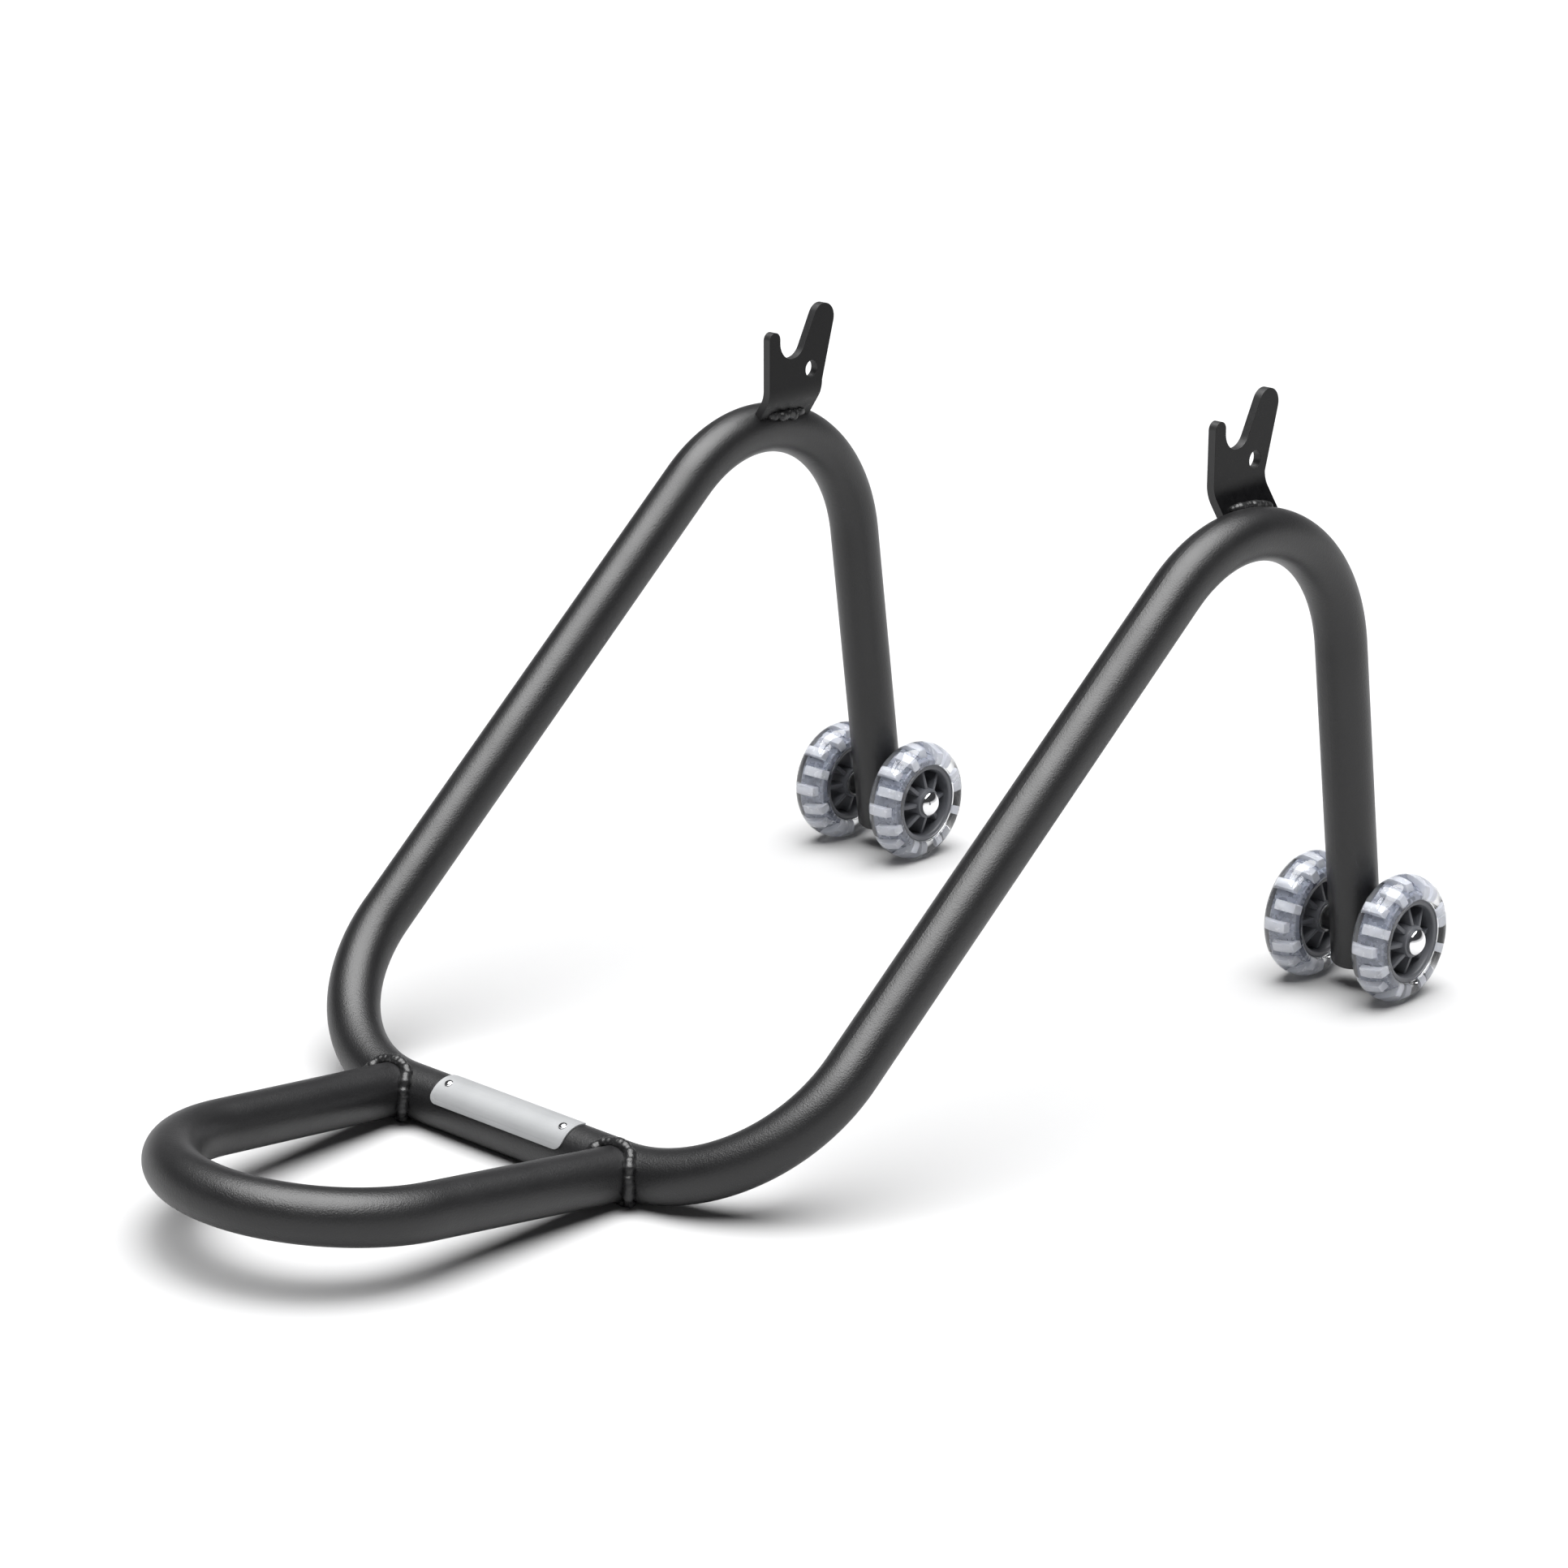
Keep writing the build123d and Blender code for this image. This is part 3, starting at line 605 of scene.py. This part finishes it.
print("core", len(core.data.polygons), "faces and teeth", len(teeth.data.polygons))

# %% [markdown]
# ### Axle cap
# A sheet cap pressed on the axle's end: a dome that is part of a ball, a short skirt and a rolled lip.
# Its rim slopes at about 50 degrees, so the dome shows the floor below and the dark room above. Its
# profile is measured along X from the middle of the leg.

# %% Axle cap
CAP_SEAT, CAP_TOP, CAP_RADIUS, DOME_DEPTH = 42.4 * MM, 47.8 * MM, 7.8 * MM, 3.6 * MM
DOME_RADIUS = (CAP_RADIUS**2 + DOME_DEPTH**2) / (2 * DOME_DEPTH)
DOME_ANGLE = degrees(asin(CAP_RADIUS / DOME_RADIUS))
OUTWARD, WHEEL_TO_LEG = -1, 31.2 * MM
leg_middle = wheel_middle + Vector((WHEEL_TO_LEG, 0, 0))
dome = arc((CAP_TOP - DOME_RADIUS, 0), (DOME_RADIUS, DOME_RADIUS), 0, DOME_ANGLE, 14)
skirt = [(CAP_SEAT + 0.3 * MM, CAP_RADIUS), (CAP_SEAT, CAP_RADIUS - 0.2 * MM), (CAP_SEAT, 5.0 * MM)]
socket = [(CAP_SEAT + 0.6 * MM, 4.0 * MM), (CAP_SEAT + 3.4 * MM, 4.0 * MM), (CAP_SEAT + 3.4 * MM, 0)]
cap_profile = [(OUTWARD * x, r) for x, r in dome + skirt + socket]
cap = turned(leg_middle, cap_profile, steps=64, closed=False)
in_place(cap, smooth_angle=50)
print("cap", len(cap.data.polygons), "faces")

# %% [markdown]
# ### Four wheels from one
# Each copy moves by the way from the first tyre to its own tyre in the CAD. Tyre, core, teeth and hub
# ride on the wheel's body and turn with it. The cap sits on the axle, so it rides on the frame, and is
# turned round where its wheel is on the other side of the leg.

# %% Four wheels from one
for side, place in WHEELS:
    body = f"wheel_{side}_{place}"
    low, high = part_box(f"wheel_tyre_{side}_{place}")
    shift = (low + high) / 2 - wheel_middle
    hub_node, tyre_node = f"wheel_hub_{side}_{place}", f"wheel_tyre_{side}_{place}"
    spot = f"{side}_{place}"
    hand_over(own_copy(tyre, shift), f"clear_tyre_{spot}", body, urethane, "clear_urethane", tyre_node)
    hand_over(own_copy(hub, shift), f"spoked_hub_{spot}", body, hub_nylon, "hub_nylon", hub_node)
    hand_over(own_copy(core, shift), f"tyre_core_{spot}", body, core_plastic, "hub_nylon")
    # the teeth carry the painted glint
    hand_over(own_copy(teeth, shift), f"core_teeth_{spot}", body, tooth_plastic_painted_glint, "hub_nylon")
    cap_copy = own_copy(cap)
    cap_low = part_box(f"push_cap_{side}_{place}")[0]
    if (side == "left") != (place == "outer"):
        only(cap_copy)
        bpy.ops.object.mode_set(mode="EDIT")
        bpy.ops.mesh.select_all(action="SELECT")
        bpy.ops.transform.rotate(value=pi, orient_axis="Z", center_override=leg_middle)
        bpy.ops.object.mode_set(mode="OBJECT")
    made_low = min(v.co.x for v in cap_copy.data.vertices)
    cap_copy.data.transform(Matrix.Translation((cap_low.x - made_low, 0, 0)))
    hand_over(cap_copy, f"axle_cap_{spot}", "frame", chrome, "chrome_cap", f"push_cap_{spot}")
for spare in (tyre, hub, core, teeth, cap):
    bpy.data.objects.remove(spare)
# %% [markdown]
# ## Weld beads
# A bead is a row of small overlapping puddles, one for each touch of the wire, that froze as the torch
# moved on. So it is made as a row of flattened balls along the seam, melted into one skin by a remesh.
# The seam comes from the CAD bead: its points are sorted by their angle round the seam's axis, and the
# middle of each sector is a point of the seam. The coat covers the beads as it covers the tubes.

# %% Helper: points over a mesh
def sampled(mesh, pitch=0.0008):
    """Points all over a mesh of triangles, about this far apart."""
    points = []
    for face in mesh.polygons:
        a, b, c = [mesh.vertices[i].co for i in face.vertices]
        count = max(1, int(max((b - a).length, (c - a).length, (c - b).length) / pitch))
        for i in range(count + 1):
            for j in range(count + 1 - i):
                points.append(a + (b - a) * (i / count) + (c - a) * (j / count))
    return points


print("points can be spread over a mesh")

# %% Helper: the middle line of a CAD bead
def seam(node, centre, axis, up, sectors):
    """Middle points of a ring-shaped CAD bead, in order round an axis."""
    axis = Vector(axis).normalized()
    across = Vector(up).cross(axis).normalized()
    upward = axis.cross(across)
    groups = [[] for _ in range(sectors)]
    for point in sampled(nodes[node].data):
        arm = point - centre
        turn = atan2(arm.dot(across), arm.dot(upward)) % (2 * pi)
        groups[int(turn / (2 * pi) * sectors) % sectors].append(point)
    middles = []
    for group in groups:
        if group:
            low = Vector([min(point[i] for point in group) for i in range(3)])
            high = Vector([max(point[i] for point in group) for i in range(3)])
            middles.append((low + high) / 2)
    return middles


def walked(points, pitch):
    """Points at an even pitch along a closed line."""
    placed, carried = [], 0.0
    for here, there in zip(points, points[1:] + points[:1]):
        length = (there - here).length
        while carried < length:
            placed.append(here.lerp(there, carried / length))
            carried += pitch
        carried -= length
    return placed


print("seams can be walked")

# %% Helper: a rippled bead
BEAD_GRAIN, UNEVEN_PLACE, UNEVEN_SIZE = 0.42 * MM, 0.12, 0.16


def wobble(number, size):
    """A small uneven offset that is the same every time."""
    return size * (sin(number * 2.4) + sin(number * 5.1 + 1.3)) / 2


def weld_bead(points, radius, soften, floor_gap=0.0):
    """A rippled bead along a seam. More softening gives a smoother bead."""
    balls = []
    for number, place in enumerate(points):
        nothing_selected()
        spot = place + Vector([wobble(number + 7 * i, UNEVEN_PLACE * radius) for i in range(3)])
        size = radius + wobble(number, UNEVEN_SIZE * radius)
        bpy.ops.mesh.primitive_ico_sphere_add(subdivisions=2, radius=size, location=spot)
        balls.append(bpy.context.object)
    bead = joined(balls)
    only(bead)
    bpy.ops.object.transform_apply(location=True, rotation=True, scale=True)
    applied(bead, "REMESH", mode="VOXEL", voxel_size=BEAD_GRAIN, use_smooth_shade=True)
    applied(bead, "SMOOTH", factor=0.5, iterations=soften)
    for vertex in bead.data.vertices:
        vertex.co.z = max(vertex.co.z, floor_gap)
    in_place(bead, smooth_angle=80)
    return bead


print("beads can be laid")

# %% [markdown]
# ### Handle's beads
# The handle's two ends are cut to fit the crossbar, so each seam is a saddle-shaped ring. It is seen
# along the handle, from the crossbar to the front bend. The bead is smoothed most here, and its
# underside is kept just off the floor.

# %% Handle's beads
CROSSBAR_Y, CROSSBAR_Z = -161.0 * MM, 15.0 * MM
HANDLE_REACH, HANDLE_RISE, REAR_HALF, FRONT_HALF = 209.5 * MM, 30.5 * MM, 85.5 * MM, 76.5 * MM
HANDLE_PITCH, HANDLE_PUDDLE, HANDLE_SOFTEN, OFF_THE_FLOOR = 3.0 * MM, 3.4 * MM, 14, 0.6 * MM
for side, sign in (("left", -1), ("right", 1)):
    node = f"handle_weld_{side}"
    rear = Vector((sign * REAR_HALF, CROSSBAR_Y, CROSSBAR_Z))
    front = Vector((sign * FRONT_HALF, CROSSBAR_Y - HANDLE_REACH, CROSSBAR_Z + HANDLE_RISE))
    ring = seam(node, rear, front - rear, up=(0, 0, 1), sectors=48)
    bead = weld_bead(walked(ring, HANDLE_PITCH), HANDLE_PUDDLE, HANDLE_SOFTEN, OFF_THE_FLOOR)
    hand_over(bead, f"handle_bead_{side}", "frame", powder_coat, "powder_coat", node)

# %% [markdown]
# ### Hooks' beads
# A hook's foot lies on the top of its arch, and its bead runs round the foot. This seam is seen from
# above. The puddles are smaller and keep more of their ripple.

# %% Hooks' beads
HOOK_PITCH, HOOK_PUDDLE, HOOK_SOFTEN = 2.6 * MM, 3.0 * MM, 6
for side in ("left", "right"):
    node = f"hook_weld_{side}"
    low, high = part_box(node)
    ring = seam(node, (low + high) / 2, (0, 0, 1), up=(0, 1, 0), sectors=40)
    bead = weld_bead(walked(ring, HOOK_PITCH), HOOK_PUDDLE, HOOK_SOFTEN)
    hand_over(bead, f"hook_bead_{side}", "frame", powder_coat, "powder_coat", node)

# %% [markdown]
# ## Hooks
# Each hook is laser-cut from 5 mm plate and its foot is folded outwards. Paint flows off sharp edges, so
# every edge of the plate is rounded by less than a millimetre and catches a thin line of light. The
# CAD plate is copied, its triangles are merged back to whole faces, and the sharp edges are bevelled. The
# cut walls face along the plate, so their normals have almost no X, and they get the duller coat, whose
# greyer black is painted light along the edges.

# %% Hooks
HOOK_EDGE, WALL_LIMIT = 0.7 * MM, 0.35
for side in ("left", "right"):
    only(nodes[f"hook_{side}"])
    bpy.ops.object.duplicate(linked=False)
    plate = bpy.context.object
    for key in [key for key in plate.keys() if key.startswith("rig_")]:
        del plate[key]
    bpy.ops.object.parent_clear(type="CLEAR_KEEP_TRANSFORM")
    bpy.ops.object.mode_set(mode="EDIT")
    bpy.ops.mesh.select_all(action="SELECT")
    bpy.ops.mesh.customdata_custom_splitnormals_clear()
    bpy.ops.mesh.remove_doubles(threshold=0.00001)
    bpy.ops.mesh.dissolve_limited(angle_limit=radians(1.5))
    bpy.ops.object.mode_set(mode="OBJECT")
    applied(plate, "BEVEL", width=HOOK_EDGE, segments=3, limit_method="ANGLE", angle_limit=radians(40))
    in_place(plate, smooth_angle=35)
    applied(plate, "WEIGHTED_NORMAL", keep_sharp=True, weight=90)
    hand_over(plate, f"lifting_hook_{side}", "frame", hook_coat_painted_shade, "powder_coat", f"hook_{side}")
    plate.data.materials.append(wall_coat_painted_light)
    # the cut walls take the greyer coat, which is painted light along the edges
    for face in plate.data.polygons:
        if abs(face.normal.x) < WALL_LIMIT:
            face.material_index = 1

# %% [markdown]
# ## Nameplate
# The nameplate is thin bright sheet wrapped round the crossbar, with rounded corners and a fine groove
# just inside its edge. It is left bare. It starts flat: the corners are bevelled, the border is inset
# and sunk, the sheet is cut into strips and given its thickness, and then each strip's distance along
# the sheet becomes an angle round the tube.

# %% Nameplate, flat
PLATE_LENGTH, PLATE_WALL, PLATE_INSIDE, GROOVE_DEPTH = 100.0 * MM, 0.8 * MM, 15.1 * MM, 0.2 * MM
PLATE_CORNER, BORDER, GROOVE_SLOPE, GROOVE_FLOOR = 5.0 * MM, 1.6 * MM, 0.12 * MM, 0.4 * MM
PLATE_ANGLES = (20.0, 122.0)
PLATE_MIDDLE = radians(sum(PLATE_ANGLES) / 2)
plate_width = PLATE_INSIDE * radians(PLATE_ANGLES[1] - PLATE_ANGLES[0])
plate_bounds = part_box("nameplate")
nothing_selected()
bpy.ops.mesh.primitive_plane_add(size=1)
nameplate = bpy.context.object
nameplate.scale = (PLATE_LENGTH, plate_width, 1)
bpy.ops.object.transform_apply(location=False, rotation=False, scale=True)
bpy.ops.object.mode_set(mode="EDIT")
bpy.ops.mesh.select_all(action="SELECT")
bpy.ops.mesh.bevel(offset=PLATE_CORNER, segments=8, affect="VERTICES")
bpy.ops.mesh.select_all(action="SELECT")
bpy.ops.mesh.inset(thickness=BORDER)
bpy.ops.mesh.inset(thickness=GROOVE_SLOPE)
bpy.ops.transform.translate(value=(0, 0, -GROOVE_DEPTH))
bpy.ops.mesh.inset(thickness=GROOVE_FLOOR)
bpy.ops.mesh.inset(thickness=GROOVE_SLOPE)
bpy.ops.transform.translate(value=(0, 0, GROOVE_DEPTH))
bpy.ops.object.mode_set(mode="OBJECT")
print("flat plate", round(plate_width / MM, 1), "mm wide,", len(nameplate.data.polygons), "faces")

# %% Nameplate, groove, strips and wrap
STRIPS = 24
only(nameplate)
bpy.ops.object.mode_set(mode="EDIT")
bpy.ops.mesh.select_all(action="SELECT")
for number in range(1, STRIPS):
    height = plate_width * (number / STRIPS - 0.5)
    bpy.ops.mesh.select_all(action="SELECT")
    bpy.ops.mesh.bisect(plane_co=(0, height, 0), plane_no=(0, 1, 0))
bpy.ops.object.mode_set(mode="OBJECT")
applied(nameplate, "SOLIDIFY", thickness=PLATE_WALL, offset=1)


def wrapped(point):
    """A point of the flat sheet on the crossbar: Y along the sheet becomes an angle round the tube."""
    turn = PLATE_MIDDLE + point.y / PLATE_INSIDE
    radius = PLATE_INSIDE + point.z
    return Vector((point.x, crossbar.y - radius * cos(turn), crossbar.z + radius * sin(turn)))


crossbar = Vector((0, CROSSBAR_Y, CROSSBAR_Z))
for vertex in nameplate.data.vertices:
    vertex.co = wrapped(vertex.co)
tidy_mesh(nameplate)
in_place(nameplate, smooth_angle=25)
hand_over(nameplate, "bare_nameplate", "frame", plate_metal, "plate_aluminium", "nameplate")
print("plate box", [round(v, 4) for corner in plate_bounds for v in corner])

# %% [markdown]
# ## Rivets
# Two drive rivets hold the nameplate. Each head is a small polished dome on a thin flange. It is turned
# on the X axis like the wheels' round pieces, and then tipped so that it stands out of the crossbar.

# %% Rivets
RIVET_AT, RIVET_HEAD, RIVET_HEIGHT = 43.5 * MM, 2.4 * MM, 1.3 * MM
head_profile = arc((0.35 * MM, 0), (RIVET_HEIGHT - 0.35 * MM, RIVET_HEAD - 0.15 * MM), 0, 90, 10)
head_profile += [(0.3 * MM, RIVET_HEAD), (0.0, RIVET_HEAD), (-0.9 * MM, 1.6 * MM), (-0.9 * MM, 0)]
heads = []
for sign in (-1, 1):
    head = turned(Vector((0, 0, 0)), head_profile, steps=32, closed=False)
    in_place(head, smooth_angle=50)
    out = Vector((0, -cos(PLATE_MIDDLE), sin(PLATE_MIDDLE)))
    turn = Vector((1, 0, 0)).rotation_difference(out).to_matrix().to_4x4()
    seat = Vector((sign * RIVET_AT, crossbar.y, crossbar.z)) + out * (PLATE_INSIDE + PLATE_WALL)
    head.data.transform(Matrix.Translation(seat) @ turn)
    heads.append(head)
rivets = joined(heads)
in_place(rivets, smooth_angle=50)
hand_over(rivets, "drive_rivets", "frame", polished, "rivet_steel", "nameplate_rivets")
